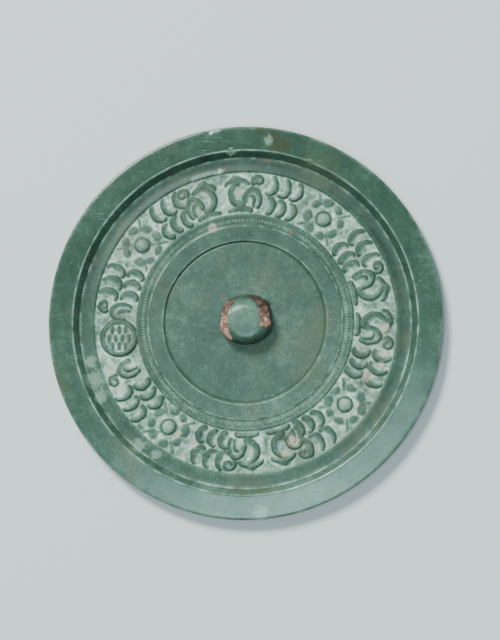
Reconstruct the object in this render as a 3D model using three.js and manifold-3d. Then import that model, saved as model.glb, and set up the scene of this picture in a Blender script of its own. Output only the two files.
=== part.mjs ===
// Bronze mirror, one casting, lying on its polished face with the decorated back up.
// Millimetres, +Z up. The origin is under the centre, on the surface that the mirror lies on.
// A bearing is in degrees, clockwise from +Y when the back is seen from above.
import * as THREE from "three";
import { mergeVertices } from "three/addons/utils/BufferGeometryUtils.js";
import Module from "manifold-3d";

const wasm = await Module();
wasm.setup();

// ---- Driving dimensions ----------------------------------------------------------------

const DISC_RADIUS = 75;
const DISC_SIDES = 60;

// Heights of the back's surfaces above the polished face.
const RIM_Z = 6.5;
const LEDGE_Z = 4.1;
const FIELD_Z = 3.5;
const THREAD_Z = 3.95;
const GROOVE_Z = 3.75;
const RING_Z = 4.3;
const CENTRE_Z = 3.7;

// Radii where one surface gives way to the next, from the rim inwards.
const RIM_INNER = 65.4;
const LEDGE_OUTER = 63.2;
const LEDGE_MIDDLE = 60.8;
const FIELD_OUTER = 57.5;
const FIELD_INNER = 41.4;
const THREAD_INNER = 39.7;
const RING_OUTER = 37.4;
const RING_INNER = 31.1;
const CENTRE_RADIUS = 30.2;

// The polished face is flat in the middle and lifts towards the edge.
const FACE_FLAT = 60;
const FACE_LIFT = 0.4;

// The knob stands a little off the middle, is a little wider along X, and leans towards -Y. Its
// crown is worn flat: `worn` is how many times as tall it would be unworn.
const KNOB = {
  x: 0.7,
  y: 1.2,
  radius: 9.6,
  stretch: 1.12,
  height: 8.0,
  fullness: 2.8,
  worn: 1.08,
  lean: 1.9,
  sides: 30,
};

// The cord hole runs through the knob along X and widens at both mouths.
const CORD_HOLE = { halfWidth: 5.0, height: 5.0, sides: 12, flareFrom: 5.5, flare: 1.15 };

const NIPPLE = { out: 49.3, bearings: [37.5, 129.8, 216.2, 307.1], radius: 2.6, height: 1.6 };
const PETAL = { count: 8, away: 6.5, radius: 1.7, stretch: 1.3, height: 0.45 };
const BAR = { count: 4, away: 7.8, length: 4.0, width: 1.0, height: 0.4 };

// The bearing on which each pair of birds meets, and how many degrees the feathers of the bird
// before it and of the bird after it lie from their usual places.
const PAIRS = [
  { bearing: 349.8, shifts: [-1.8, 1.3] },
  { bearing: 83.2, shifts: [-0.2, 0.9] },
  { bearing: 170.8, shifts: [-3.4, -1.6] },
  { bearing: 261.7, shifts: [1.9, 0.2] },
];

// A seal takes the place of the last pair's foreparts.
const SEAL = {
  bearing: 263.2,
  out: 48.5,
  radius: 6.95,
  border: 1.5,
  height: 0.9,
  floor: 0.4,
  strokeHeight: 0.35,
  strokeHalf: 0.8,
};

const RELIEF = 0.75; // how far the birds stand above the field
const SUNK = 0.4; // how far a joined-on form reaches below the surface that carries it
const CREST = 0.5; // a stroke's width at its crest, as a part of its width at the foot
const STEP = 56; // the most that a stroke turns between two of its sections

// ---- Solids ----------------------------------------------------------------------------

// A three.js geometry, which must be closed, as a manifold-3d solid.
function solid(geometry) {
  geometry.deleteAttribute("normal");
  geometry.deleteAttribute("uv");
  const merged = mergeVertices(geometry, 1e-4);
  const corners = merged.index.array;
  const triangles = [];
  for (let i = 0; i < corners.length; i += 3) {
    const [a, b, c] = [corners[i], corners[i + 1], corners[i + 2]];
    if (a !== b && b !== c && c !== a) triangles.push(a, b, c);
  }
  return new wasm.Manifold(
    new wasm.Mesh({
      numProp: 3,
      vertProperties: merged.attributes.position.array,
      triVerts: new Uint32Array(triangles),
    }),
  );
}

// A closed surface of revolution about +Z. Its profile runs from the axis at the bottom to the
// axis at the top.
function turned(profile, sides) {
  const points = profile.map(([radius, z]) => new THREE.Vector2(radius, z));
  return new THREE.LatheGeometry(points, sides).rotateX(Math.PI / 2);
}

// A dome's profile on a short sunken foot. A power of 1 makes it elliptical, a lower one fuller.
// Its crown is cut off flat where it would be `worn` times as tall.
function domeProfile(radius, height, z, steps, power = 1, worn = 1) {
  const profile = [
    [0, z - SUNK],
    [radius, z - SUNK],
  ];
  for (let i = 0; i < steps; i += 1) {
    const angle = (i / steps) * (Math.PI / 2);
    const rise = Math.min(worn * Math.sin(angle) ** power, 1);
    profile.push([radius * Math.cos(angle) ** power, z + height * rise]);
  }
  profile.push([0, z + height]);
  return profile;
}

// The point at a bearing and a distance from the mirror's axis.
function atBearing(bearing, out, z = 0) {
  const angle = THREE.MathUtils.degToRad(bearing);
  return new THREE.Vector3(out * Math.sin(angle), out * Math.cos(angle), z);
}

// ---- The disc --------------------------------------------------------------------------

function discProfile() {
  const R = DISC_RADIUS;
  return [
    [0, 0],
    [FACE_FLAT, 0],
    [R - 0.6, FACE_LIFT],
    [R, FACE_LIFT + 0.7],
    [R, RIM_Z - 0.9],
    [R - 0.9, RIM_Z - 0.3],
    [RIM_INNER + 0.6, RIM_Z],
    [RIM_INNER, RIM_Z - 0.2],
    [LEDGE_OUTER, LEDGE_Z - 0.25],
    [LEDGE_MIDDLE, LEDGE_Z - 0.5],
    [FIELD_OUTER + 0.5, LEDGE_Z],
    [FIELD_OUTER, FIELD_Z],
    [FIELD_INNER, FIELD_Z],
    [FIELD_INNER - 0.3, THREAD_Z],
    [THREAD_INNER + 0.2, THREAD_Z - 0.2],
    [THREAD_INNER, GROOVE_Z],
    [RING_OUTER + 0.2, GROOVE_Z],
    [RING_OUTER - 0.5, RING_Z],
    [RING_INNER, RING_Z],
    [RING_INNER - 0.2, RING_Z - 0.8],
    [CENTRE_RADIUS + 0.2, RING_Z - 0.8],
    [CENTRE_RADIUS, CENTRE_Z],
    [0, CENTRE_Z],
  ];
}

// ---- The knob and its cord hole --------------------------------------------------------

// The dome's curve is a superellipse, fuller than a circle.
function knobDome() {
  const steps = 6;
  const power = 2 / KNOB.fullness;
  const profile = domeProfile(KNOB.radius, KNOB.height, 0, steps, power, KNOB.worn);
  const lean = new THREE.Matrix4().makeShear(0, 0, 0, 0, 0, -KNOB.lean / KNOB.height);
  const dome = turned(profile, KNOB.sides).scale(KNOB.stretch, 1, 1);
  return dome.applyMatrix4(lean).translate(0, 0, CENTRE_Z);
}

// The hole's section is half an ellipse that stands on the centre's surface.
function cordHole() {
  const { halfWidth, height, sides, flareFrom, flare } = CORD_HOLE;
  const reach = KNOB.radius * KNOB.stretch + 1.5;
  const stations = [
    [-reach, flare],
    [-flareFrom, 1],
    [flareFrom, 1],
    [reach, flare],
  ];
  const positions = [];
  const triangles = [];
  for (const [x, scale] of stations) {
    for (let i = 0; i <= sides / 2; i += 1) {
      const angle = (i / (sides / 2)) * Math.PI;
      const y = halfWidth * scale * Math.cos(angle);
      positions.push(x, y, CENTRE_Z + height * scale * Math.sin(angle));
    }
  }
  const ring = sides / 2 + 1;
  for (let s = 0; s + 1 < stations.length; s += 1) {
    for (let i = 0; i < ring; i += 1) {
      const [a, b] = [s * ring + i, s * ring + ((i + 1) % ring)];
      triangles.push(a, b, b + ring, a, b + ring, a + ring);
    }
  }
  const last = (stations.length - 1) * ring;
  for (let i = 1; i + 1 < ring; i += 1) {
    triangles.push(0, i + 1, i);
    triangles.push(last, last + i, last + i + 1);
  }
  return closedGeometry(positions, triangles);
}

function closedGeometry(positions, triangles) {
  const geometry = new THREE.BufferGeometry();
  geometry.setAttribute("position", new THREE.Float32BufferAttribute(positions, 3));
  geometry.setIndex(triangles);
  return geometry;
}

function knob() {
  return solid(knobDome()).subtract(solid(cordHole())).translate(KNOB.x, KNOB.y, 0);
}

// ---- Strokes of the relief -------------------------------------------------------------

// A raised stroke along a path on the field: a bar with sloping sides, half as wide at its crest.
// Each point of the path has x, y and the stroke's half width there.
function ridge(path, z, height) {
  const positions = [];
  const triangles = [];
  const count = path.length;
  path.forEach((point, i) => {
    const before = path[Math.max(i - 1, 0)];
    const after = path[Math.min(i + 1, count - 1)];
    const length = Math.hypot(after.x - before.x, after.y - before.y);
    const [leftX, leftY] = [-(after.y - before.y) / length, (after.x - before.x) / length];
    const section = [
      [1, z - SUNK],
      [CREST, z + height],
      [-CREST, z + height],
      [-1, z - SUNK],
    ];
    for (const [side, level] of section) {
      const offset = side * point.half;
      positions.push(point.x + leftX * offset, point.y + leftY * offset, level);
    }
  });
  for (let i = 0; i + 1 < count; i += 1) {
    for (let k = 0; k < 4; k += 1) {
      const [a, b] = [i * 4 + k, i * 4 + ((k + 1) % 4)];
      triangles.push(a, b, b + 4, a, b + 4, a + 4);
    }
  }
  const last = (count - 1) * 4;
  triangles.push(0, 2, 1, 0, 3, 2);
  triangles.push(last, last + 1, last + 2, last, last + 2, last + 3);
  return solid(closedGeometry(positions, triangles));
}

// A stroke along an arc of an ellipse. Its middle lies `along` degrees from the bearing where the
// pair meets, and `out` from the mirror's axis; `wide` and `tall` are the ellipse's half axes. It
// turns between two angles, 0 on the side away from the pair's meeting line and 90 outwards. The
// half widths are at its start, middle and end. `shrink` makes it a spiral.
function arc(along, out, wide, tall, [from, to], halves, shrink = 1) {
  return { along, out, wide, tall, from, to, halves, shrink };
}

// The half width at `t`, which runs from 0 at a stroke's start to 1 at its end.
function halfAt([start, middle, end], t) {
  const { lerp } = THREE.MathUtils;
  return t < 0.5 ? lerp(start, middle, 2 * t) : lerp(middle, end, 2 * t - 1);
}

// A stroke's path on one side of a pair's bearing.
function arcPath(stroke, bearing, side) {
  const { along, out, wide, tall, from, to, halves, shrink } = stroke;
  const middleBearing = bearing + side * along;
  const middle = atBearing(middleBearing, out);
  const outwards = atBearing(middleBearing, 1);
  const steps = Math.ceil(Math.abs(to - from) / STEP);
  const path = [];
  for (let i = 0; i <= steps; i += 1) {
    const t = i / steps;
    const angle = THREE.MathUtils.degToRad(from + (to - from) * t);
    const size = 1 + (shrink - 1) * t;
    const across = side * wide * size * Math.cos(angle);
    const up = tall * size * Math.sin(angle);
    path.push({
      x: middle.x + across * outwards.y + up * outwards.x,
      y: middle.y - across * outwards.x + up * outwards.y,
      half: halfAt(halves, t),
    });
  }
  return path;
}

// Tail and wing feathers: three crescents in an outer row and three in an inner one.
function feathers(shift) {
  const strokes = [];
  for (let k = 0; k < 3; k += 1) {
    const [outer, inner] = [29.8 - 5.3 * k + shift, 30.5 - 5.35 * k + shift];
    strokes.push(arc(outer, 53.6, 2.2, 3.4, [65, -108], [0.7, 1.25, 0.75]));
    strokes.push(arc(inner, 45.5, 1.9, 2.8, [95, -70], [0.65, 1.3, 1.15]));
  }
  return strokes;
}

// The wing's arch with the quill under it, and the curled crest above.
const WING = [
  arc(13.4, 47.2, 2.8, 4.1, [186, -42], [1.0, 0.95, 0.75]),
  arc(12.7, 45.8, 1.2, 3.0, [105, -25], [0.5, 0.8, 0.5]),
  arc(15.8, 54.5, 2.2, 2.0, [215, -170], [0.85, 0.8, 0.6], 0.3),
];

// The neck and head with the beak at its end, the breast, and the feet on the ground line.
const FOREPART = [
  arc(7.0, 52.2, 4.5, 2.4, [28, 172], [0.8, 1.25, 0.5]),
  arc(8.6, 49.4, 4.0, 4.2, [112, 266], [0.8, 1.35, 1.5]),
  arc(7.9, 42.4, 4.0, 0.8, [165, 15], [0.7, 1.1, 1.0]),
];

const HEAD = { along: 6.6, out: 55.2, radius: 1.35, stretch: 1.5, height: 0.7 };

// A low button with a narrower top, `stretch` times as long across the bearing `turn` as along it.
function button(place, turn, { radius, height, stretch }, sides) {
  const shape = new THREE.CylinderGeometry(radius * 0.6, radius, height + SUNK, sides);
  shape.rotateX(Math.PI / 2).scale(stretch, 1, 1).rotateZ(THREE.MathUtils.degToRad(-turn));
  shape.translate(place.x, place.y, FIELD_Z + (height - SUNK) / 2);
  return solid(shape);
}

function bird(bearing, side, shift, whole) {
  const strokes = [...feathers(shift), ...WING, ...(whole ? FOREPART : [])];
  const parts = strokes.map((s) => ridge(arcPath(s, bearing, side), FIELD_Z, RELIEF));
  if (whole) {
    const headBearing = bearing + side * HEAD.along;
    parts.push(button(atBearing(headBearing, HEAD.out), headBearing, HEAD, 8));
  }
  return parts;
}

// ---- Nipples, each in a flower ---------------------------------------------------------

function nipple(bearing) {
  const middle = atBearing(bearing, NIPPLE.out);
  const dome = domeProfile(NIPPLE.radius, NIPPLE.height, FIELD_Z, 3);
  const parts = [solid(turned(dome, 12).translate(middle.x, middle.y, 0))];
  for (let k = 0; k < PETAL.count; k += 1) {
    const turn = bearing + (360 / PETAL.count) * (k + 0.5);
    const petal = atBearing(turn, PETAL.away).add(middle);
    parts.push(button(petal, turn, PETAL, 6));
  }
  for (let k = 0; k < BAR.count; k += 1) {
    const turn = bearing + (360 / BAR.count) * (k + 0.5);
    const ends = [BAR.away - BAR.length / 2, BAR.away + BAR.length / 2];
    const path = ends.map((away) => {
      const point = atBearing(turn, away).add(middle);
      return { x: point.x, y: point.y, half: BAR.width / 2 };
    });
    parts.push(ridge(path, FIELD_Z, BAR.height));
  }
  return parts;
}

// ---- The seal --------------------------------------------------------------------------

// A round boss with a border and, on its floor, rows of short plain strokes.
function seal() {
  const middle = atBearing(SEAL.bearing, SEAL.out);
  const inside = SEAL.radius - SEAL.border;
  const floor = FIELD_Z + SEAL.floor;
  const boss = [
    [0, FIELD_Z - SUNK],
    [SEAL.radius, FIELD_Z - SUNK],
    [SEAL.radius - 0.3, FIELD_Z + SEAL.height],
    [inside + 0.2, FIELD_Z + SEAL.height],
    [inside, floor],
    [0, floor],
  ];
  const parts = [solid(turned(boss, 24).translate(middle.x, middle.y, 0))];
  const rows = [
    { y: 3.1, length: 1.9, xs: [-2.5, 0, 2.5] },
    { y: 0, length: 1.7, xs: [-3.7, -1.25, 1.25, 3.7] },
    { y: -3.1, length: 1.9, xs: [-2.5, 0, 2.5] },
  ];
  for (const row of rows) {
    for (const x of row.xs) {
      const ends = [-row.length / 2, row.length / 2];
      const path = ends.map((end) => ({
        x: middle.x + x,
        y: middle.y + row.y + end,
        half: SEAL.strokeHalf,
      }));
      parts.push(ridge(path, floor, SEAL.strokeHeight));
    }
  }
  return parts;
}

// ---- The mirror ------------------------------------------------------------------------

function mirrorSolid() {
  const parts = [solid(turned(discProfile(), DISC_SIDES)), knob(), ...seal()];
  for (const bearing of NIPPLE.bearings) parts.push(...nipple(bearing));
  PAIRS.forEach(({ bearing, shifts }, i) => {
    const whole = i < PAIRS.length - 1;
    parts.push(...bird(bearing, -1, shifts[0], whole), ...bird(bearing, 1, shifts[1], whole));
  });
  return parts.reduce((joined, part) => joined.add(part));
}

function mirrorMesh() {
  const { vertProperties, triVerts } = mirrorSolid().getMesh();
  const geometry = closedGeometry(vertProperties, Array.from(triVerts));
  const flat = geometry.toNonIndexed();
  flat.computeVertexNormals();
  const patina = new THREE.MeshStandardMaterial({
    color: 0x7d9a8c,
    roughness: 0.45,
    metalness: 0.35,
  });
  const mesh = new THREE.Mesh(flat, patina);
  mesh.name = "mirror";
  return mesh;
}

const part = new THREE.Group();
part.add(mirrorMesh());

export default part;
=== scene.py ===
"""A patinated bronze mirror that lies on its polished face, seen from above its decorated back.

Shapes are worked out in millimetres and turned into metres when a mesh is made. A bearing is in
degrees, clockwise from +Y as seen from above, and `out` is a distance from the mirror's axis.
"""

import math

import bpy
import numpy as np
from mathutils import Matrix, Vector


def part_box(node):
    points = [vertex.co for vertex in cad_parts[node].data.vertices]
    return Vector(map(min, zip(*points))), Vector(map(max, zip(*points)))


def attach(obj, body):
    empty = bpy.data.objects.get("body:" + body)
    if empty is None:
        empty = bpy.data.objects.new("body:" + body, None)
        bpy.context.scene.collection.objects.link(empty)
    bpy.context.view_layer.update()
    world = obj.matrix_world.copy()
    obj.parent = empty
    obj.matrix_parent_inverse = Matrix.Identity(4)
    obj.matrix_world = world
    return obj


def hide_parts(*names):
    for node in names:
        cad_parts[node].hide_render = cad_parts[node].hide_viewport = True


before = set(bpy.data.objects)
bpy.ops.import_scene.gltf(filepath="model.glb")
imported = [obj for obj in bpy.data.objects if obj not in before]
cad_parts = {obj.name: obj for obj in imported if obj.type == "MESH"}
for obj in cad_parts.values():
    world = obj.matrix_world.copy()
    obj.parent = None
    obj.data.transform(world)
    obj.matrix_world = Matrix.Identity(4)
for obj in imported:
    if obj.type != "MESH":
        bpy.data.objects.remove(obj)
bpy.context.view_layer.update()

MM = 0.001
LOW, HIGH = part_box("mirror")

# ---- Sizes. Those of the large forms are the same as the solid's ----------------------

DISC_RADIUS = (HIGH[0] - LOW[0]) / 2 / MM
KNOB_TOP = HIGH[2] / MM

RIM_Z = 6.5
LEDGE_Z = 4.1
FIELD_Z = 3.5
THREAD_Z = 3.95
GROOVE_Z = 3.75
RING_Z = 4.3
CENTRE_Z = 3.7

RIM_INNER = 65.4
LEDGE_OUTER = 63.2
LEDGE_MIDDLE = 60.8  # the ledge slopes down as far as this, and rises a little beyond
FIELD_OUTER = 57.5
FIELD_INNER = 41.4
THREAD_INNER = 39.7
RING_OUTER = 37.4
RING_INNER = 31.1
CENTRE_RADIUS = 30.2

FACE_FLAT = 60.0
FACE_LIFT = 0.4

KNOB = {
    "middle": (0.7, 1.2),
    "radius": 9.6,
    "stretch": 1.12,  # how many times as wide it is along X
    "height": KNOB_TOP - CENTRE_Z,
    "fullness": 2.8,
    "worn": 1.08,  # how many times as tall its dome would be with an unworn crown
    "lean": 1.9,
}
CORD_HOLE = {"half_width": 5.0, "height": 5.0, "flare_from": 5.5, "flare": 1.15}

NIPPLE = {"out": 49.3, "bearings": (37.5, 129.8, 216.2, 307.1), "radius": 2.6, "height": 1.6}
PETAL = {"count": 8, "away": 6.5, "radius": 1.7, "stretch": 1.3, "height": 0.45}
BAR = {"count": 4, "away": 7.8, "length": 4.0, "width": 1.0, "height": 0.4}

# The pairs of birds: the bearing they face each other at, and how far the feathers of the
# bird before it and of the bird after it lie from their usual places.
PAIRS = ((349.8, (-1.8, 1.3)), (83.2, (-0.2, 0.9)), (170.8, (-3.4, -1.6)), (261.7, (1.9, 0.2)))
SEAL = {
    "bearing": 263.2,
    "out": 48.5,
    "radius": 6.95,
    "border": 1.5,
    "height": 0.9,
    "floor": 0.4,
    "stroke_height": 0.35,
    "stroke_half": 0.8,
}

RELIEF = 0.75  # how tall the birds' strokes are
TEETH = 216
TOOTH_HEIGHT = 0.35
CHIP_DEPTH = 0.45
COLUMNS = 4 * TEETH  # the finest rings have four points to each tooth

KNOB_VOXEL = 0.42  # the edge of the cells that the knob is remeshed with
CRUST_LUMPS = 0.45
CROWN_DENTS = 0.08


# ---- Noise -----------------------------------------------------------------------------

LATTICE = 32


def noise(points, size, seed):
    """Smooth noise from -1 to 1 whose lumps are about `size` mm across, at an (n, 3) array."""
    table = np.random.default_rng(seed).uniform(-1, 1, (LATTICE,) * 3)
    at = np.asarray(points) / size
    cell = np.floor(at).astype(int)
    part = at - cell
    part = part * part * (3 - 2 * part)
    total = np.zeros(len(at))
    for corner in np.ndindex(2, 2, 2):
        weight = np.prod(np.where(corner, part, 1 - part), axis=1)
        i, j, k = ((cell + corner) % LATTICE).T
        total += weight * table[i, j, k]
    return total


def cloud(points, size, seed, octaves=3):
    """Noise with finer noise on it, from about -1 to 1."""
    total = sum(noise(points, size / 2**k, seed + k) / 2**k for k in range(octaves))
    return total / (2 - 0.5 ** (octaves - 1))


def ease(low, high, x):
    """0 below low, 1 above high, and smooth between. With low over high it falls instead."""
    t = np.clip((x - low) / (high - low), 0, 1)
    return t * t * (3 - 2 * t)


# ---- The relief ------------------------------------------------------------------------


def at_bearing(bearing, out):
    """The point at a bearing and a distance from the axis. At 1 it is a direction."""
    angle = math.radians(bearing)
    return np.array([out * math.sin(angle), out * math.cos(angle)])


def arc_path(stroke, bearing, side, steps=22):
    """An elliptical arc as rows of x, y and half width, on one side of a pair's bearing."""
    middle_bearing = bearing + side * stroke["along"]
    middle = at_bearing(middle_bearing, stroke["out"])
    outwards = at_bearing(middle_bearing, 1)
    clockwise = np.array([outwards[1], -outwards[0]])
    t = np.linspace(0, 1, steps)
    angle = np.radians(stroke["from"] + (stroke["to"] - stroke["from"]) * t)
    size = 1 + (stroke["shrink"] - 1) * t
    across = side * stroke["wide"] * size * np.cos(angle)
    up = stroke["tall"] * size * np.sin(angle)
    half = np.interp(t, (0, 0.5, 1), stroke["half"])
    return np.column_stack([middle + np.outer(across, clockwise) + np.outer(up, outwards), half])


def arc(along, out, wide, tall, turn, half, shrink=1):
    """A stroke. `turn` is its first and last angle, `half` its half widths on the way."""
    return {
        "along": along,
        "out": out,
        "wide": wide,
        "tall": tall,
        "from": turn[0],
        "to": turn[1],
        "half": half,
        "shrink": shrink,
    }


def feathers(shift):
    """Three pairs of feathers, all moved along the band by `shift` degrees."""
    strokes = []
    for k in range(3):
        outer, inner = 29.8 - 5.3 * k + shift, 30.5 - 5.35 * k + shift
        strokes.append(arc(outer, 53.6, 2.2, 3.4, (65, -108), (0.7, 1.25, 0.75)))
        strokes.append(arc(inner, 45.5, 1.9, 2.8, (95, -70), (0.65, 1.3, 1.15)))
    return strokes


WING = [
    arc(13.4, 47.2, 2.8, 4.1, (186, -42), (1.0, 0.95, 0.75)),
    arc(12.7, 45.8, 1.2, 3.0, (105, -25), (0.5, 0.8, 0.5)),
    arc(15.8, 54.5, 2.2, 2.0, (215, -170), (0.85, 0.8, 0.6), shrink=0.3),
]

# The neck that ends in the beak, the breast, and the feet on the ground line.
FOREPART = [
    arc(7.0, 52.2, 4.5, 2.4, (28, 172), (0.8, 1.25, 0.5)),
    arc(8.6, 49.4, 4.0, 4.2, (112, 266), (0.8, 1.35, 1.5)),
    arc(7.9, 42.4, 4.0, 0.8, (165, 15), (0.7, 1.1, 1.0)),
]

HEAD = {"along": 6.6, "out": 55.2, "radius": 1.35, "stretch": 1.5, "height": 0.7}
BEADS = {"along": 8.6, "out": 49.4, "wide": 2.5, "tall": 3.0, "turn": (128, 232), "count": 6}


class Relief:
    """Heights above the field at points on the band, and how pale the patina is there, with
    painted shade along the strokes' convex edges.
    """

    FORM, GROUND, GROOVE, DOME = 0.42, 0.68, 0.12, 0.68  # how pale each of them is

    def __init__(self, xy):
        flat = np.column_stack([xy, np.zeros(len(xy))])
        drift = np.column_stack([cloud(flat, 3.0, 20, 2), cloud(flat, 3.0, 30, 2)])
        self.true_xy = xy
        self.xy = xy + 0.3 * drift  # makes every stroke as uneven as one cut by hand
        self.height = 0.08 * cloud(flat, 1.4, 15, 2)
        self.tone = self.GROUND + 0.2 * cloud(flat, 4.0, 40, 3) + 0.22 * cloud(flat, 1.3, 45, 2)
        self.edge = np.full(len(xy), 9.0)  # the distance from a raised form

    def near(self, low, high, margin=2.5):
        inside = np.all((self.xy > low - margin) & (self.xy < high + margin), axis=1)
        return np.flatnonzero(inside)

    def paint(self, where, tone, amount):
        self.tone[where] += (tone - self.tone[where]) * amount

    def raise_to(self, where, distance, height, slope=(0.4, -0.7), inside=None):
        """Raises the points `where` by a form that they are `distance` mm outside of.

        `inside` is how far each of them belongs to it, from 0 to 1, where that isn't the same.
        """
        full = ease(*slope, distance) if inside is None else inside
        self.height[where] = np.maximum(self.height[where], height * full)
        self.paint(where, self.FORM, ease(0.2, -0.5, distance) if inside is None else full)
        self.edge[where] = np.minimum(self.edge[where], distance)

    def stroke(self, path, height, hollow=None):
        """Raises a stroke along a path. Towards the point `hollow` it fades out like a dune."""
        where = self.near(path[:, :2].min(axis=0), path[:, :2].max(axis=0))
        point = self.xy[where]
        distance = np.full(len(where), 9.0)
        nearest = np.zeros_like(point)
        for a, b in zip(path[:-1], path[1:]):
            run = b[:2] - a[:2]
            t = np.clip((point - a[:2]) @ run / max(run @ run, 1e-9), 0, 1)
            foot = a[:2] + t[:, None] * run
            away = np.linalg.norm(point - foot, axis=1) - (a[2] + (b[2] - a[2]) * t)
            nearest = np.where((away < distance)[:, None], foot, nearest)
            distance = np.minimum(distance, away)
        if hollow is None:
            self.raise_to(where, distance, height)
            return
        reach = np.linalg.norm(nearest - hollow, axis=1)
        depth = reach - np.linalg.norm(point - hollow, axis=1)
        crisp = ease(0.35, -0.65, distance)
        faded = ease(0.9, -1.5, distance)
        inner = ease(-0.5, 0.5, depth)
        self.raise_to(where, distance, height, inside=crisp + (faded - crisp) * inner)
        # Painted shade: a darker line just inside the stroke's convex edge, where its side falls
        # in shade.
        convex_shade = ease(0.3, -0.2, distance) * ease(-1.6, -0.4, distance) * (1 - inner)
        self.paint(where, self.FORM - 0.07, convex_shade)

    def button(self, middle, radius, height, bearing=0, stretch=1, slope=(0.4, -0.9)):
        """A low boss, `stretch` times as long across its bearing as along it."""
        where = self.near(middle - radius, middle + radius)
        away = self.xy[where] - middle
        along = away @ at_bearing(bearing, 1)
        across = away @ at_bearing(bearing + 90, 1) / stretch
        self.raise_to(where, np.hypot(along, across) - radius, height, slope)

    def dome(self, middle, radius, height):
        """A half-round knop with a groove cut round it."""
        where = self.near(middle - radius, middle + radius)
        away = np.linalg.norm(0.5 * (self.xy + self.true_xy)[where] - middle, axis=1)
        round_top = height * np.clip(1 - (away / radius) ** 2, 0, 1)
        groove = ease(0.55, 0.15, np.abs(away - radius - 0.25))
        self.height[where] = np.where(away < radius, round_top, self.height[where] - 0.2 * groove)
        self.paint(where, self.DOME, ease(radius + 0.1, radius - 0.2, away))
        self.paint(where, self.GROOVE, groove)
        self.edge[where] = np.minimum(self.edge[where], away - radius - 0.5)

    def finish(self):
        """Pales the ground in a narrow band close round every form."""
        beside = ease(0.1, 0.4, self.edge) * ease(1.3, 0.5, self.edge)
        self.tone += 0.1 * beside


def add_bird(relief, bearing, side, shift, whole, draw):
    """One bird on one side of a pair's bearing, or only its wing and feathers."""
    strokes = feathers(shift) + WING + (FOREPART if whole else [])
    for stroke in strokes:
        path = arc_path(stroke, bearing, side)
        path[:, :2] += draw.normal(0, 0.15, 2)
        hollow = at_bearing(bearing + side * stroke["along"], stroke["out"])
        relief.stroke(path, RELIEF * draw.uniform(0.8, 1.05), hollow)
    if whole:
        middle_bearing = bearing + side * HEAD["along"]
        head = at_bearing(middle_bearing, HEAD["out"])
        relief.button(head, HEAD["radius"], HEAD["height"], middle_bearing, HEAD["stretch"])
        add_beads(relief, bearing, side)


def add_beads(relief, bearing, side):
    """A row of small beads along the inside of the breast."""
    place = (BEADS["along"], BEADS["out"], BEADS["wide"], BEADS["tall"])
    beads = arc(*place, BEADS["turn"], (0, 0, 0))
    for x, y, _ in arc_path(beads, bearing, side, BEADS["count"]):
        where = relief.near(np.array((x, y)), np.array((x, y)), 1.0)
        full = ease(0.5, 0.1, np.linalg.norm(relief.true_xy[where] - (x, y), axis=1))
        relief.height[where] += 0.2 * full
        relief.paint(where, relief.GROUND + 0.1, full)


def add_flower(relief, bearing, draw):
    """A nipple among petals, with short bars that lead away from it."""
    middle = at_bearing(bearing, NIPPLE["out"])
    for k in range(PETAL["count"]):
        turn = bearing + 360 / PETAL["count"] * (k + 0.5) + draw.normal(0, 3)
        petal = middle + at_bearing(turn, PETAL["away"])
        height = PETAL["height"] * draw.uniform(0.5, 1.1)
        radius = PETAL["radius"] * draw.uniform(0.85, 1.15)
        relief.button(petal, radius, height, turn, PETAL["stretch"], slope=(0.5, -1.1))
    for k in range(BAR["count"]):
        turn = bearing + 360 / BAR["count"] * (k + 0.5)
        reach = BAR["length"] / 2
        ends = [middle + at_bearing(turn, BAR["away"] + end) for end in (-reach, reach)]
        relief.stroke(np.column_stack([ends, [BAR["width"] / 2] * 2]), BAR["height"])
    relief.dome(middle, NIPPLE["radius"], NIPPLE["height"])


# The rows of strokes on the seal's floor: their y, their length and their places along x.
SEAL_ROWS = (
    (3.1, 1.9, (-2.5, 0, 2.5)),
    (0, 1.7, (-3.7, -1.25, 1.25, 3.7)),
    (-3.1, 1.9, (-2.5, 0, 2.5)),
)


def add_seal(relief):
    """A round boss with a border and rows of short plain strokes on its floor."""
    middle = at_bearing(SEAL["bearing"], SEAL["out"])
    where = relief.near(middle - SEAL["radius"], middle + SEAL["radius"])
    away = np.linalg.norm(relief.true_xy[where] - middle, axis=1)
    strokes = Relief(relief.true_xy[where])
    for y, length, xs in SEAL_ROWS:
        for x in xs:
            ends = [middle + (x, y + end) for end in (-length / 2, length / 2)]
            path = np.column_stack([ends, [SEAL["stroke_half"]] * 2])
            strokes.stroke(path, SEAL["stroke_height"])
    on_seal = ease(0.2, -0.3, away - SEAL["radius"])
    on_floor = ease(0.2, -0.3, away - (SEAL["radius"] - SEAL["border"]))
    boss = SEAL["height"] * on_seal - (SEAL["height"] - SEAL["floor"]) * on_floor
    boss += strokes.height * on_floor
    relief.height[where] = np.where(away < SEAL["radius"] + 0.2, boss, relief.height[where])
    relief.paint(where, relief.FORM - 0.03, on_seal)
    relief.paint(where, strokes.tone - 0.25 * strokes.height, on_floor)
    outline = ease(0.5, 0.1, np.abs(away - SEAL["radius"] - 0.2))
    relief.paint(where, relief.GROOVE, 0.7 * outline)
    relief.edge[where] = np.minimum(relief.edge[where], away - SEAL["radius"])


def band_relief(xy):
    relief = Relief(xy)
    draw = np.random.default_rng(11)
    for i, (bearing, shifts) in enumerate(PAIRS):
        for side, shift in zip((-1, 1), shifts):
            add_bird(relief, bearing, side, shift, i < len(PAIRS) - 1, draw)
    for bearing in NIPPLE["bearings"]:
        add_flower(relief, bearing, draw)
    add_seal(relief)
    relief.finish()
    return relief


# ---- The disc --------------------------------------------------------------------------

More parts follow.
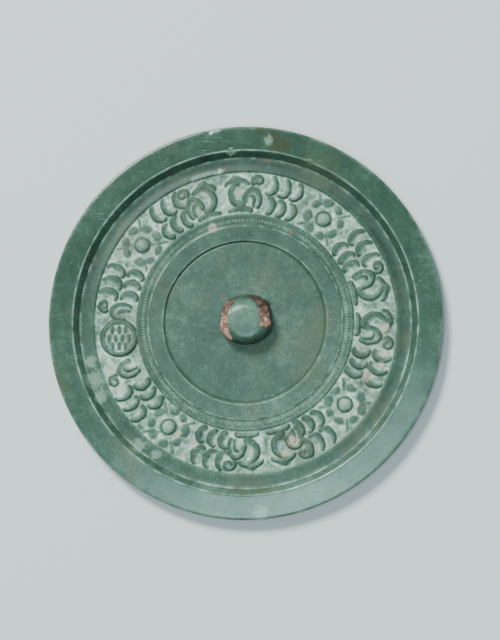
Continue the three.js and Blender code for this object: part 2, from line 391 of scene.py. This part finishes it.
TOP_PROFILE = np.array(
    [
        (0, CENTRE_Z),
        (CENTRE_RADIUS, CENTRE_Z),
        (CENTRE_RADIUS + 0.2, RING_Z - 0.8),
        (RING_INNER - 0.2, RING_Z - 0.8),
        (RING_INNER, RING_Z),
        (RING_OUTER - 0.5, RING_Z),
        (RING_OUTER + 0.2, GROOVE_Z),
        (THREAD_INNER, GROOVE_Z),
        (THREAD_INNER + 0.2, THREAD_Z - 0.2),
        (FIELD_INNER - 0.3, THREAD_Z),
        (FIELD_INNER, FIELD_Z),
        (FIELD_OUTER, FIELD_Z),
        (FIELD_OUTER + 0.5, LEDGE_Z),
        (LEDGE_MIDDLE, LEDGE_Z - 0.5),
        (LEDGE_OUTER, LEDGE_Z - 0.25),
        (RIM_INNER, RIM_Z - 0.2),
        (RIM_INNER + 0.6, RIM_Z),
        (DISC_RADIUS - 0.9, RIM_Z - 0.3),
    ]
)


def top_height(radius):
    """The back's height without its relief, with every corner rounded a little."""
    rounding = np.linspace(-0.22, 0.22, 7)
    heights = [np.interp(radius + d, *TOP_PROFILE.T) for d in rounding]
    return np.mean(heights, axis=0)


def spaced(start, end, step):
    """Radii from start up to, and not including, end."""
    count = max(round((end - start) / step), 1)
    return np.linspace(start, end, count, endpoint=False)


def top_rows():
    """(radius, points round) from the middle out to the rim's outer edge."""
    coarse, middling, fine = COLUMNS // 4, COLUMNS // 2, COLUMNS
    zones = [
        (3, 9, 3, coarse),
        (9, 11.4, 0.4, coarse),
        (11.4, CENTRE_RADIUS - 0.3, 1.9, middling),
        (CENTRE_RADIUS - 0.3, RING_INNER + 0.4, 0.17, middling),
        (RING_INNER + 0.4, RING_OUTER - 0.8, 1.1, middling),
        (RING_OUTER - 0.8, RING_OUTER + 0.2, 0.2, fine),
        (RING_OUTER + 0.2, THREAD_INNER - 0.1, 0.3, fine),
        (THREAD_INNER - 0.1, FIELD_INNER + 0.2, 0.24, fine),
        (FIELD_INNER + 0.2, FIELD_OUTER - 0.1, 0.34, fine),
        (FIELD_OUTER - 0.1, FIELD_OUTER + 0.8, 0.2, fine),
        (FIELD_OUTER + 0.8, LEDGE_OUTER - 0.3, 1.0, middling),
        (LEDGE_OUTER - 0.3, RIM_INNER + 0.9, 0.28, middling),
        (RIM_INNER + 0.9, DISC_RADIUS - 0.9, 1.1, middling),
    ]
    return [(r, n) for start, end, step, n in zones for r in spaced(start, end, step)]


def edge_rows():
    """(radius, z) round the outer edge, from the rim's top down to the polished face."""
    top, foot = 0.9, 0.7
    rows = []
    for angle in np.radians(np.linspace(90, 0, 6)):
        radius = DISC_RADIUS - top + top * math.cos(angle)
        rows.append((radius, RIM_Z - 0.3 - top + top * math.sin(angle)))
    rows += [(DISC_RADIUS, z) for z in (4.3, 3.2, 2.1)]
    for angle in np.radians(np.linspace(0, -90, 5)):
        radius = DISC_RADIUS - foot + foot * math.cos(angle)
        rows.append((radius, FACE_LIFT + foot + foot * math.sin(angle)))
    return rows


def face_rows():
    """(radius, z) over the polished face, from its edge to its middle."""
    lifted = [(r, FACE_LIFT * ease(FACE_FLAT, DISC_RADIUS, r)) for r in (72.5, 70, 67, 64)]
    return lifted + [(r, 0.0) for r in (FACE_FLAT, 50, 40, 30, 20, 10, 4)]


def ring_points(radius, count):
    angle = np.arange(count) / count * 2 * math.pi
    return np.column_stack([radius * np.sin(angle), radius * np.cos(angle)])


def stitch(first, n, second, m):
    """Triangles between a ring of n points and the next of m. One count divides the other."""
    if n == m:
        i = np.arange(n)
        j = (i + 1) % n
        return np.vstack(
            [
                np.column_stack([first + i, first + j, second + j]),
                np.column_stack([first + i, second + j, second + i]),
            ]
        )
    flip = n > m
    few, many = (second, first) if flip else (first, second)
    small, large = min(n, m), max(n, m)
    ratio = large // small
    faces = []
    for i in range(small):
        a, b = few + i, few + (i + 1) % small
        fan = [many + (i * ratio + k) % large for k in range(ratio + 1)]
        half = ratio // 2
        faces += [(a, fan[k + 1], fan[k]) for k in range(half)]
        faces.append((a, b, fan[half]))
        faces += [(b, fan[k + 1], fan[k]) for k in range(half, ratio)]
    faces = np.array(faces)
    return faces[:, ::-1] if flip else faces


def disc_shape():
    """The disc's points and triangles, without its relief and its knob."""
    rings = []
    for radius, count in top_rows():
        xy = ring_points(radius, count)
        rings.append(np.column_stack([xy, top_height(np.full(count, radius))]))
    for radius, z in edge_rows():
        rings.append(np.column_stack([ring_points(radius, COLUMNS // 2), [z] * (COLUMNS // 2)]))
    for radius, z in face_rows():
        rings.append(np.column_stack([ring_points(radius, COLUMNS // 4), [z] * (COLUMNS // 4)]))
    starts = np.cumsum([0] + [len(ring) for ring in rings])
    faces = []
    for k in range(len(rings) - 1):
        faces.append(stitch(starts[k], len(rings[k]), starts[k + 1], len(rings[k + 1])))
    points = np.vstack(rings + [[(0, 0, CENTRE_Z)], [(0, 0, 0)]])
    for ring, pole, turn in ((0, starts[-1], 1), (len(rings) - 1, starts[-1] + 1, -1)):
        count = len(rings[ring])
        i = starts[ring] + np.arange(count)
        j = starts[ring] + (np.arange(count) + 1) % count
        faces.append(np.column_stack([np.full(count, pole), j, i])[:, ::turn])
    return points, np.vstack(faces)


def teeth_height(xy, radius):
    """The row of small teeth in the groove, uneven, and worn away here and there."""
    flat = np.column_stack([xy, np.zeros(len(xy))])
    turn = np.arctan2(xy[:, 0], xy[:, 1]) * TEETH + 1.2 * cloud(flat, 6.0, 42, 2)
    wear = ease(-0.6, 0.5, cloud(flat, 4.0, 40, 3) + 0.5 * cloud(flat, 1.2, 44, 2))
    across = ease(RING_OUTER + 0.6, RING_OUTER + 1.1, radius)
    across = across * ease(THREAD_INNER, THREAD_INNER - 0.5, radius)
    return TOOTH_HEIGHT * wear * across * (0.5 + 0.5 * np.cos(turn))


# Chips in the rim's edges: bearing, distance out, radius.
CHIPS = ((349.8, 75.0, 1.7), (351.6, 75.0, 1.2), (355.4, 65.3, 1.1), (22, 65.4, 0.8))


def on_back(points):
    """Whether each point is on the decorated back, and not on the face or low on the edge."""
    return points[:, 2] > GROOVE_Z - 0.4


def carve(points):
    """Adds the relief and the teeth to the disc, and breaks the chips out of it."""
    radius = np.hypot(points[:, 0], points[:, 1])
    top = on_back(points)
    band = np.flatnonzero(top & (radius > FIELD_INNER) & (radius < FIELD_OUTER + 0.6))
    relief = band_relief(points[band, :2])
    clear = ease(FIELD_INNER, FIELD_INNER + 0.6, radius[band])
    clear = clear * ease(FIELD_OUTER + 0.1, FIELD_OUTER - 0.5, radius[band])
    points[band, 2] += relief.height * clear
    groove = np.flatnonzero(top & (radius > RING_OUTER) & (radius < THREAD_INNER))
    points[groove, 2] += teeth_height(points[groove, :2], radius[groove])
    rough = 0.6 + 0.4 * cloud(points, 1.0, 80, 2)
    points[:, 2] -= CHIP_DEPTH * top * rough * ease(0.1, 0.6, spots(points, CHIPS))


# ---- The knob --------------------------------------------------------------------------


def closed_tube(rings):
    """Faces of a tube through equal rings of points, with both ends capped by a fan."""
    count = len(rings[0])
    faces = []
    for k in range(len(rings) - 1):
        faces.append(stitch(k * count, count, (k + 1) * count, count))
    last = (len(rings) - 1) * count
    for first, turn in ((0, 1), (last, -1)):
        fan = [(first, first + i + 1, first + i) for i in range(1, count - 1)]
        faces.append(np.array(fan)[:, ::turn])
    return np.vstack(rings), np.vstack(faces)


def worn_down(height):
    """A height with all that is near 1 or above it worn down to about 1."""
    return height / (1 + height**22) ** (1 / 22)


def dome_shape():
    """The knob's superellipse dome, worn nearly flat on top, which leans a little towards -Y."""
    sides, steps, sunk = 96, 30, 0.4
    power = 2 / KNOB["fullness"]
    foot = ring_points(KNOB["radius"], sides) * (KNOB["stretch"], 1)
    rings = [np.column_stack([foot, [CENTRE_Z - sunk] * sides])]
    for angle in np.linspace(0, math.pi / 2, steps + 1)[:-1]:
        xy = ring_points(KNOB["radius"] * math.cos(angle) ** power, sides)
        unworn = KNOB["worn"] * math.sin(angle) ** power
        rise = KNOB["height"] * worn_down(unworn) / worn_down(KNOB["worn"])
        xy[:, 0] *= KNOB["stretch"]
        xy[:, 1] -= KNOB["lean"] * rise / KNOB["height"]
        rings.append(np.column_stack([xy, [CENTRE_Z + rise] * sides]))
    rings.append(rings[-1] * (0.02, 0.02, 1) + (0, -KNOB["lean"], 0))
    rings[-1][:, 2] = KNOB_TOP
    points, faces = closed_tube(rings)
    return points, faces[:, ::-1]


def hole_shape():
    """The cord hole along X: half an ellipse that widens at both mouths and reaches the foot."""
    reach = KNOB["radius"] * KNOB["stretch"] + 1.5
    rings = []
    for x in np.linspace(-reach, reach, 41):
        widening = max(abs(x) - CORD_HOLE["flare_from"], 0) / (reach - CORD_HOLE["flare_from"])
        size = 1 + (CORD_HOLE["flare"] - 1) * widening**1.5
        angle = np.linspace(0, math.pi, 40)
        y = CORD_HOLE["half_width"] * size * np.cos(angle)
        z = CENTRE_Z + CORD_HOLE["height"] * size * np.sin(angle)
        y = np.concatenate([[y[0]], y, [y[-1]]])
        z = np.concatenate([[CENTRE_Z - 1], z, [CENTRE_Z - 1]])
        rings.append(np.column_stack([np.full(len(y), x), y, z]))
    return closed_tube(rings)


# ---- Meshes ----------------------------------------------------------------------------


def mesh_object(name, points, faces):
    mesh = bpy.data.meshes.new(name)
    mesh.from_pydata((np.asarray(points) * MM).tolist(), [], np.asarray(faces).tolist())
    made = bpy.data.objects.new(name, mesh)
    bpy.context.scene.collection.objects.link(made)
    return made


def bake_modifiers(thing):
    graph = bpy.context.evaluated_depsgraph_get()
    mesh = bpy.data.meshes.new_from_object(thing.evaluated_get(graph))
    thing.modifiers.clear()
    thing.data = mesh


def combine(thing, other, operation):
    """Cuts `other` from a mesh or joins it on, and deletes `other`."""
    change = thing.modifiers.new("combine", "BOOLEAN")
    change.operation = operation
    change.object = other
    change.solver = "MANIFOLD"
    bake_modifiers(thing)
    bpy.data.objects.remove(other)


def mesh_points(mesh):
    points = np.empty(len(mesh.vertices) * 3)
    mesh.vertices.foreach_get("co", points)
    return points.reshape(-1, 3) / MM


def mesh_normals(mesh):
    normals = np.empty(len(mesh.vertices) * 3)
    mesh.vertices.foreach_get("normal", normals)
    return normals.reshape(-1, 3)


def move_points(mesh, points):
    mesh.vertices.foreach_set("co", (points * MM).ravel())
    mesh.update()


# The smooth oval that the crust leaves free, and how far the crust on each flank reaches
# along Y: its middle and half its length.
SMOOTH_OVAL = {"middle": (-0.6, -1.4), "half": (5.9, 9.6)}
RIGHT_CRUST = (2.2, 5.9)
LEFT_CRUST = (-0.8, 8.0)


def flank_crust(points):
    """1 on the knob's corroded flanks at the mouths of the cord hole, 0 on its crown and ends.

    The points are taken from the knob's middle.
    """
    x, y = points[:, 0], points[:, 1]
    ragged = cloud(points, 2.2, 60)
    across, along = ((points[:, :2] - SMOOTH_OVAL["middle"]) / SMOOTH_OVAL["half"]).T
    flank = ease(0.95, 1.1, np.hypot(across, along) + 0.06 * ragged)
    middle = np.where(x > 0, RIGHT_CRUST[0], LEFT_CRUST[0])
    reach = np.where(x > 0, RIGHT_CRUST[1], LEFT_CRUST[1])
    return flank * ease(1.4, -0.9, np.abs(y - middle) - reach + 1.7 * ragged)


def knob_object():
    """The pierced knob, evenly meshed, with lumps on its crust and faint dents elsewhere."""
    knob = mesh_object("knob", *dome_shape())
    combine(knob, mesh_object("cord_hole", *hole_shape()), "DIFFERENCE")
    remesh = knob.modifiers.new("even_out", "REMESH")
    remesh.mode = "VOXEL"
    remesh.voxel_size = KNOB_VOXEL * MM
    soften = knob.modifiers.new("soften", "SMOOTH")
    soften.iterations = 3
    bake_modifiers(knob)
    points = mesh_points(knob.data)
    crust = flank_crust(points)
    lumps = CRUST_LUMPS * cloud(points, 1.5, 70, 4) * crust
    dents = CROWN_DENTS * cloud(points, 2.0, 75, 3) * (1 - crust)
    points += mesh_normals(knob.data) * (lumps + dents)[:, None]
    points[:, 2] = np.minimum(points[:, 2], KNOB_TOP)
    move_points(knob.data, points + (*KNOB["middle"], 0))
    return knob


# ---- The casting -----------------------------------------------------------------------


def casting():
    """The disc and the knob, joined into one closed mesh."""
    points, faces = disc_shape()
    carve(points)
    mirror = mesh_object("mirror_casting", points, faces)
    combine(mirror, knob_object(), "UNION")
    mirror.data.polygons.foreach_set("use_smooth", [True] * len(mirror.data.polygons))
    return mirror


# How pale the patina is from the middle outwards: radius, tone.
RING_TONES = np.array(
    [
        (0, 0.37),
        (CENTRE_RADIUS - 0.2, 0.36),
        (CENTRE_RADIUS + 0.2, 0.3),
        (RING_INNER, 0.35),
        (RING_OUTER - 0.2, 0.36),
        (RING_OUTER + 0.3, 0.38),
        (THREAD_INNER - 0.5, 0.42),
        (THREAD_INNER, 0.36),
        (FIELD_INNER - 0.3, 0.42),
        (FIELD_INNER - 0.1, 0.34),
        (FIELD_INNER + 0.4, 0.6),
        (FIELD_OUTER - 0.3, 0.6),
        (FIELD_OUTER + 0.1, 0.36),
        (LEDGE_MIDDLE, 0.28),
        (LEDGE_OUTER - 0.2, 0.28),
        (LEDGE_OUTER + 0.4, 0.38),
        (RIM_INNER - 0.2, 0.4),
        (RIM_INNER + 0.6, 0.38),
        (DISC_RADIUS - 0.5, 0.4),
        (DISC_RADIUS, 0.4),
    ]
)

# Painted light and reflection, where the patina is painted paler on the side towards the lights
# and darker opposite: from and to radius, the palest bearing, how much.
PAINTED_LIGHT_SIDES = (
    (CENTRE_RADIUS, FIELD_INNER, 165, 0.045),
    (FIELD_OUTER, LEDGE_OUTER, 175, 0.08),
    (LEDGE_OUTER, RIM_INNER, 180, 0.08),
    (RIM_INNER, DISC_RADIUS + 1, 165, 0.04),
)

# How much polish the surface has kept from the middle outwards: radius, polish.
RING_POLISH = np.array(
    [
        (CENTRE_RADIUS, 0.3),
        (RING_OUTER, 0.45),
        (RING_OUTER + 0.5, 0.1),
        (FIELD_OUTER, 0.1),
        (FIELD_OUTER + 0.5, 0.28),
        (LEDGE_OUTER, 0.2),
        (RIM_INNER, 0.6),
        (RIM_INNER + 0.8, 0.95),
        (DISC_RADIUS, 0.95),
    ]
)

EDGE_TONE = 0.36  # below the back: the outer edge and the polished face
KNOB_POLISH = 0.7
FACE_POLISH = 0.9

# Pale lines where an edge is worn or crusted, and painted highlights where an edge catches the
# light: radius, half width, how much paler.
WORN_AND_HIGHLIT_EDGES = (
    (RING_INNER + 0.2, 0.3, 0.42),
    (RING_OUTER - 0.3, 0.45, 0.42),
    (FIELD_OUTER + 0.3, 0.35, 0.2),
    (LEDGE_OUTER - 0.1, 0.4, 0.5),
    (RIM_INNER + 0.3, 0.45, 0.45),
    (DISC_RADIUS - 0.5, 0.6, 0.2),
)

# Stains, and a pale streak on the ledge that partly stands for a painted sheen, with the bearing,
# distance out and radius of each patch.
CRUST_AND_SHEEN_SPOTS = (
    (249, 61, 4.5),
    (243, 61.5, 3.2),
    (256, 61, 3.0),
    (221, 61.5, 3.4),
    (214, 60.5, 2.6),
    (7.5, 70, 2.4),
    (350, 74.5, 1.8),
    (351.6, 74.6, 1.3),
    (354.2, 65.4, 0.9),
    (355.4, 65, 1.1),
    (356.5, 65.3, 0.8),
    # Pale crust along the ledge at the upper left, painted on as a sheen as well.
    *((340 + 1.4 * k, 58.7, 1.1) for k in range(9)),
    (175, 72.5, 3.6),
)
BROWN_SPOTS = ((5, 73.5, 2.2), (9, 71.5, 3.0), (10.5, 67.5, 3.2), (13, 69.5, 2.6))
RED_SPOTS = (
    (6.2, 62.6, 1.0),
    (8.6, 62.9, 1.1),
    (11, 61.6, 0.7),
    (341, 38.0, 0.9),
    (344, 38.1, 0.6),
    (27, 38.1, 0.8),
    (352.5, 59.3, 0.8),
    (319, 12.6, 1.3),
)
BLUSH_SPOTS = (  # cream or pinkish
    (93, 53, 2.2),
    (103, 54, 2.0),
    (107.5, 54, 1.4),
    (114, 50.6, 2.2),
    (127, 52.3, 1.3),
    (158, 48.5, 2.4),
    (163, 52, 1.8),
    (203, 50.3, 2.2),
    (211, 49, 1.5),
    (242, 53.5, 2.0),
    (250, 54.5, 1.5),
    (358.6, 50.5, 1.6),
    (341, 38.5, 2.0),
    (350.5, 59, 1.2),
)
STAINS = {
    "crust": CRUST_AND_SHEEN_SPOTS,
    "brown": BROWN_SPOTS,
    "blush": BLUSH_SPOTS,
    "red": RED_SPOTS,
}


def spots(points, places):
    """1 in the middle of each patch, falling to 0 at half as far again as its radius."""
    amount = np.zeros(len(points))
    for bearing, out, radius in places:
        away = np.linalg.norm(points[:, :2] - at_bearing(bearing, out), axis=1)
        amount = np.maximum(amount, 1 - away / (1.5 * radius))
    return amount


def set_attribute(mesh, name, values):
    attribute = mesh.attributes.new(name, "FLOAT", "POINT")
    attribute.data.foreach_set("value", np.clip(values, 0, 1).astype(np.float32))


def disc_tone(points, radius, top):
    """How pale the patina is on the disc, with painted light and highlights added, where the edge
    and the face are all one tone.
    """
    tone = np.where(top, np.interp(radius, *RING_TONES.T), EDGE_TONE)
    # Pale edge lines, partly wear and crust and partly painted highlight, broken up by noise.
    worn = top * (0.3 + 0.7 * ease(-0.35, 0.35, cloud(points, 3.0, 90, 3)))
    for place, half, paler in WORN_AND_HIGHLIT_EDGES:
        tone += paler * worn * ease(half, 0, np.abs(radius - place))
    bearing = np.degrees(np.arctan2(points[:, 0], points[:, 1]))
    # Painted light: each zone is painted paler towards one bearing and darker on the far side.
    for start, end, palest, amount in PAINTED_LIGHT_SIDES:
        zone = ease(start, start + 0.3, radius) * ease(end + 0.3, end, radius)
        tone += amount * zone * top * np.cos(np.radians(bearing - palest))
    band = np.flatnonzero(top & (radius > FIELD_INNER) & (radius < FIELD_OUTER + 0.3))
    inside = ease(FIELD_INNER, FIELD_INNER + 0.5, radius[band])
    inside = inside * ease(FIELD_OUTER + 0.2, FIELD_OUTER - 0.2, radius[band])
    tone[band] += (band_relief(points[band, :2]).tone - tone[band]) * inside
    groove = np.flatnonzero(top & (radius > RING_OUTER) & (radius < THREAD_INNER))
    tone[groove] += 0.7 * teeth_height(points[groove, :2], radius[groove])
    return tone


def knob_tone(from_knob, rust):
    """How pale the knob is, with painted light and shade: palest on its crown and towards +Y,
    darkest low on its -Y side.

    Its crust has a dark margin, and is palest at its -Y end and on its -X flank.
    """
    x, y, z = from_knob.T
    # Painted light and shade: the crown and the +Y side painted paler, the low -Y side darker.
    crown = ease(CENTRE_Z + 3, KNOB_TOP - 0.3, z)
    smooth = 0.16 + 0.22 * crown + 0.14 * ease(-9, 5, y) - 0.5 * rust * (1 - rust)
    crust = 0.5 - 0.24 * ease(-2, 7, y) + 0.07 * (x < 0)
    return smooth + (crust - smooth) * rust


def paint(mirror):
    """Stores how pale, stained and polished the patina is, with painted light and shade in its
    paleness, as attributes of the mesh.
    """
    points = mesh_points(mirror.data)
    radius = np.hypot(points[:, 0], points[:, 1])
    top = on_back(points)
    face = points[:, 2] < FACE_LIFT + 0.2
    from_knob = points - (*KNOB["middle"], 0)
    near_knob = np.hypot(from_knob[:, 0], from_knob[:, 1]) < KNOB["radius"] + 1.5
    on_knob = near_knob & (points[:, 2] > CENTRE_Z + 0.1)
    rust = np.where(on_knob, flank_crust(from_knob), 0)
    tone = np.where(on_knob, knob_tone(from_knob, rust), disc_tone(points, radius, top))
    set_attribute(mirror.data, "tone", tone)
    set_attribute(mirror.data, "rust", rust)
    for name, places in STAINS.items():
        set_attribute(mirror.data, name, spots(points, places) * top)
    polish = np.where(on_knob, KNOB_POLISH, np.interp(radius, *RING_POLISH.T))
    set_attribute(mirror.data, "polish", np.where(face, FACE_POLISH, polish))


# ---- Materials -------------------------------------------------------------------------


def srgb(red, green, blue):
    """A colour given as 8-bit display values, as a shader takes it."""
    values = np.array([red, green, blue]) / 255
    linear = np.where(values <= 0.04045, values / 12.92, ((values + 0.055) / 1.055) ** 2.4)
    return (*linear.tolist(), 1.0)


class Tree:
    """A material's nodes, made and joined in one call each."""

    def __init__(self, name):
        self.material = bpy.data.materials.new(name)
        self.material.use_nodes = True
        self.nodes = self.material.node_tree.nodes
        self.links = self.material.node_tree.links
        self.shader = self.nodes["Principled BSDF"]

    def put(self, value, socket):
        if isinstance(value, bpy.types.NodeSocket):
            self.links.new(value, socket)
        else:
            socket.default_value = value

    def add(self, kind, inputs=None, out=0, **settings):
        node = self.nodes.new("ShaderNode" + kind)
        for key, value in settings.items():
            setattr(node, key, value)
        for key, value in (inputs or {}).items():
            self.put(value, node.inputs[key])
        return node.outputs[out]

    def math(self, operation, a, b=0.0):
        return self.add("Math", {0: a, 1: b}, operation=operation)

    def blend(self, factor, a, b):
        inputs = {0: factor, 6: a, 7: b}
        return self.add("Mix", inputs, out=2, data_type="RGBA")

    def ramp(self, factor, stops):
        node = self.nodes.new("ShaderNodeValToRGB")
        elements = node.color_ramp.elements
        while len(elements) < len(stops):
            elements.new(0.5)
        for element, (position, colour) in zip(elements, stops):
            element.position = position
            element.color = colour
        self.links.new(factor, node.inputs[0])
        return node.outputs[0]

    def range(self, value, low, high):
        inputs = {"Value": value, "From Min": low, "From Max": high}
        return self.add("MapRange", inputs, interpolation_type="SMOOTHSTEP")

    def place(self):
        """Object coordinates in millimetres."""
        place = self.add("TexCoord", out=3)
        return self.add("VectorMath", {0: place, "Scale": 1 / MM}, operation="SCALE")

    def noise(self, place, size, detail=4.0, roughness=0.55, distortion=0.0):
        inputs = {
            "Vector": place,
            "Scale": 1 / size,
            "Detail": detail,
            "Roughness": roughness,
            "Distortion": distortion,
        }
        return self.add("TexNoise", inputs)

    def attribute(self, name):
        return self.add("Attribute", out=2, attribute_name=name)


def patina_ramp(tree, tone):
    return tree.ramp(
        tone,
        [
            (0.0, srgb(13, 26, 20)),
            (0.2, srgb(33, 54, 43)),
            (0.4, srgb(60, 87, 72)),
            (0.6, srgb(107, 137, 120)),
            (0.8, srgb(160, 185, 170)),
            (1.0, srgb(214, 226, 216)),
        ],
    )


def stained(tree, name, breakup, colour, stain, edge, strength):
    """Lays a stain over a colour where its attribute and a noise together pass `edge`.

    Returns the colour and how much of the stain there is.
    """
    level = tree.add("Math", {0: breakup, 1: 1.4, 2: -0.7}, operation="MULTIPLY_ADD")
    level = tree.math("ADD", tree.attribute(name), level)
    amount = tree.math("MULTIPLY", tree.range(level, edge, edge + 0.45), strength)
    return tree.blend(amount, colour, stain), amount


def specks(tree, place, size, radius, share):
    """Round specks of one size, in a share of the cells of a jumbled grid."""
    inputs = {"Vector": place, "Scale": 1 / size, "Randomness": 1.0}
    away = tree.add("TexVoronoi", inputs)
    chance = tree.add("SeparateColor", {0: away.node.outputs["Color"]})
    chosen = tree.math("LESS_THAN", chance, share)
    return tree.math("MULTIPLY", tree.range(away, radius / size, 0.5 * radius / size), chosen)


def scratches(tree, place, turn):
    """Long thin streaks at one angle, where a patchy mask lets them show."""
    inputs = {"Vector": place, "Rotation": (0, 0, math.radians(turn)), "Scale": (0.02, 1, 1)}
    streak = tree.noise(tree.add("Mapping", inputs), 0.45, 2.0)
    patch = tree.range(tree.noise(place, 11.0, 2.0), 0.5, 0.65)
    return tree.math("MULTIPLY", tree.range(streak, 0.62, 0.72), patch)


def bronze_material():
    """Grey-green patina, mottled and stained, with rust on the knob's flanks."""
    tree = Tree("patinated_bronze")
    place = tree.place()
    patches = tree.noise(place, 12.0, 3.0)
    clouds = tree.noise(place, 3.2, 4.0, 0.6, 0.6)
    mottle = tree.noise(place, 1.1, 5.0, 0.65, 0.3)
    grain = tree.noise(place, 0.3, 3.0, 0.6)
    swing = tree.add("Math", {0: patches, 1: 0.3, 2: -0.15}, operation="MULTIPLY_ADD")
    # The tone attribute holds painted light, shade and highlights as well as the patina's
    # paleness.
    tone = tree.math("ADD", tree.attribute("tone"), swing)
    matte = tree.math("SUBTRACT", 1.5, tree.attribute("polish"))
    for cause, amount in ((clouds, 0.26), (mottle, 0.28), (grain, 0.24)):
        swing = tree.math("MULTIPLY", tree.math("SUBTRACT", cause, 0.5), amount)
        tone = tree.add("Math", {0: swing, 1: matte, 2: tone}, operation="MULTIPLY_ADD")
    marks = tree.math("MAXIMUM", scratches(tree, place, 27), scratches(tree, place, 118))
    tone = tree.add("Math", {0: marks, 1: 0.07, 2: tone}, operation="MULTIPLY_ADD")
    colour = patina_ramp(tree, tone)
    olive = tree.range(tree.noise(place, 18.0, 3.0), 0.52, 0.7)
    colour = tree.blend(tree.math("MULTIPLY", olive, 0.45), colour, srgb(84, 92, 62))
    dark = specks(tree, place, 1.7, 0.22, 0.3)
    colour = tree.blend(tree.math("MULTIPLY", dark, 0.6), colour, srgb(22, 36, 28))
    pale = specks(tree, place, 1.3, 0.16, 0.2)
    colour = tree.blend(tree.math("MULTIPLY", pale, 0.7), colour, srgb(190, 214, 200))

    ragged = tree.noise(place, 1.6, 5.0, 0.7, 0.5)
    colour, _ = stained(tree, "brown", ragged, colour, srgb(66, 62, 38), 0.2, 0.55)
    # Pale crust, which along the ledge at the upper left is also a painted sheen.
    colour, _ = stained(tree, "crust", ragged, colour, srgb(156, 186, 166), 0.3, 0.45)
    colour, _ = stained(tree, "blush", ragged, colour, srgb(196, 190, 162), 0.25, 0.6)
    colour, _ = stained(tree, "blush", mottle, colour, srgb(214, 164, 142), 0.6, 0.55)
    colour, _ = stained(tree, "red", mottle, colour, srgb(150, 74, 62), 0.35, 0.65)
    crystals = tree.noise(place, 2.0, 5.0, 0.75)
    height = {0: tree.attribute("tone"), 1: 0.6, 2: -0.24}
    paleness = tree.math("ADD", crystals, tree.add("Math", height, operation="MULTIPLY_ADD"))
    brown = tree.ramp(
        paleness,
        [
            (0.32, srgb(38, 36, 28)),
            (0.45, srgb(86, 62, 50)),
            (0.56, srgb(142, 96, 80)),
            (0.68, srgb(218, 170, 148)),
        ],
    )
    colour, rust = stained(tree, "rust", clouds, colour, brown, 0.3, 0.9)
    tree.put(colour, tree.shader.inputs["Base Color"])

    rough = tree.add("Math", {0: clouds, 1: 0.2, 2: 0.52}, operation="MULTIPLY_ADD")
    polish = {0: tree.attribute("polish"), 1: -0.42, 2: rough}
    rough = tree.add("Math", polish, operation="MULTIPLY_ADD")
    rough = tree.math("MAXIMUM", rough, tree.math("MULTIPLY", rust, 0.85))
    tree.put(rough, tree.shader.inputs["Roughness"])
    tree.shader.inputs["IOR"].default_value = 1.5
    tree.shader.inputs["Specular Tint"].default_value = (0.8, 1.0, 0.97, 1.0)
    tree.shader.inputs["Metallic"].default_value = 0.0

    rise = tree.math("MULTIPLY", mottle, 0.5)
    rise = tree.math("ADD", rise, tree.math("MULTIPLY", grain, 0.3))
    rise = tree.math("SUBTRACT", rise, tree.math("MULTIPLY", marks, 0.3))
    rise = tree.math("SUBTRACT", rise, dark)
    rough_crust = tree.math("MULTIPLY", rust, crystals)
    rise = tree.math("ADD", rise, tree.math("MULTIPLY", rough_crust, 4.0))
    bump = tree.add("Bump", {"Strength": 0.6, "Distance": 0.06 * MM, "Height": rise})
    tree.put(bump, tree.shader.inputs["Normal"])
    return tree.material


mirror = casting()
paint(mirror)
mirror.data.materials.clear()
mirror.data.materials.append(bronze_material())
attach(mirror, "root")
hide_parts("mirror")

# ---- Stage -----------------------------------------------------------------------------


def floor_material():
    tree = Tree("pale_floor")
    tree.shader.inputs["Base Color"].default_value = srgb(226, 230, 230)
    tree.shader.inputs["Roughness"].default_value = 0.9
    return tree.material


HALF_FLOOR = 1500
SIGNS = ((-1, -1), (1, -1), (1, 1), (-1, 1))
corners = [(x * HALF_FLOOR, y * HALF_FLOOR, 0) for x, y in SIGNS]
floor = mesh_object("floor", corners, [(0, 1, 2, 3)])
floor.data.materials.append(floor_material())


def area_light(name, place, size, power, colour):
    """A soft light, `size` metres wide and deep, that faces the mirror."""
    light = bpy.data.lights.new(name, "AREA")
    light.shape = "RECTANGLE"
    light.size, light.size_y = size
    light.energy = power
    light.color = colour
    thing = bpy.data.objects.new(name, light)
    thing.location = place
    thing.rotation_euler = Vector(place).to_track_quat("Z", "Y").to_euler()
    bpy.context.scene.collection.objects.link(thing)


area_light("key", (-0.8, 1.25, 1.6), (0.6, 0.6), 66, (0.94, 1.0, 0.97))
area_light("overhead", (-0.018, -0.2, 1.0), (0.32, 0.42), 4.8, (0.75, 0.98, 1.0))

world = bpy.data.worlds.new("studio")
world.use_nodes = True
world.node_tree.nodes["Background"].inputs["Color"].default_value = (0.75, 0.85, 0.95, 1)
world.node_tree.nodes["Background"].inputs["Strength"].default_value = 0.25
bpy.context.scene.world = world

# ---- Camera ----------------------------------------------------------------------------

DISTANCE = 0.9
LEAN_X, LEAN_Y = math.radians(4.0), math.radians(-5.5)  # off the mirror's axis
FRAME_HEIGHT = 0.2429  # what the picture's height spans at the mirror
AIM = Vector((0.002, 0.0007, 0.005))  # what is in the middle of the picture, in metres

camera_data = bpy.data.cameras.new("camera")
camera_data.lens = DISTANCE * camera_data.sensor_width / FRAME_HEIGHT
camera = bpy.data.objects.new("camera", camera_data)
back = Vector((math.tan(LEAN_X), math.tan(LEAN_Y), 1)).normalized()
right = Vector((0, 1, 0)).cross(back).normalized()
turn = Matrix((right, back.cross(right), back)).transposed()
camera.location = AIM + back * DISTANCE
camera.rotation_euler = turn.to_euler()
bpy.context.scene.collection.objects.link(camera)
bpy.context.scene.camera = camera
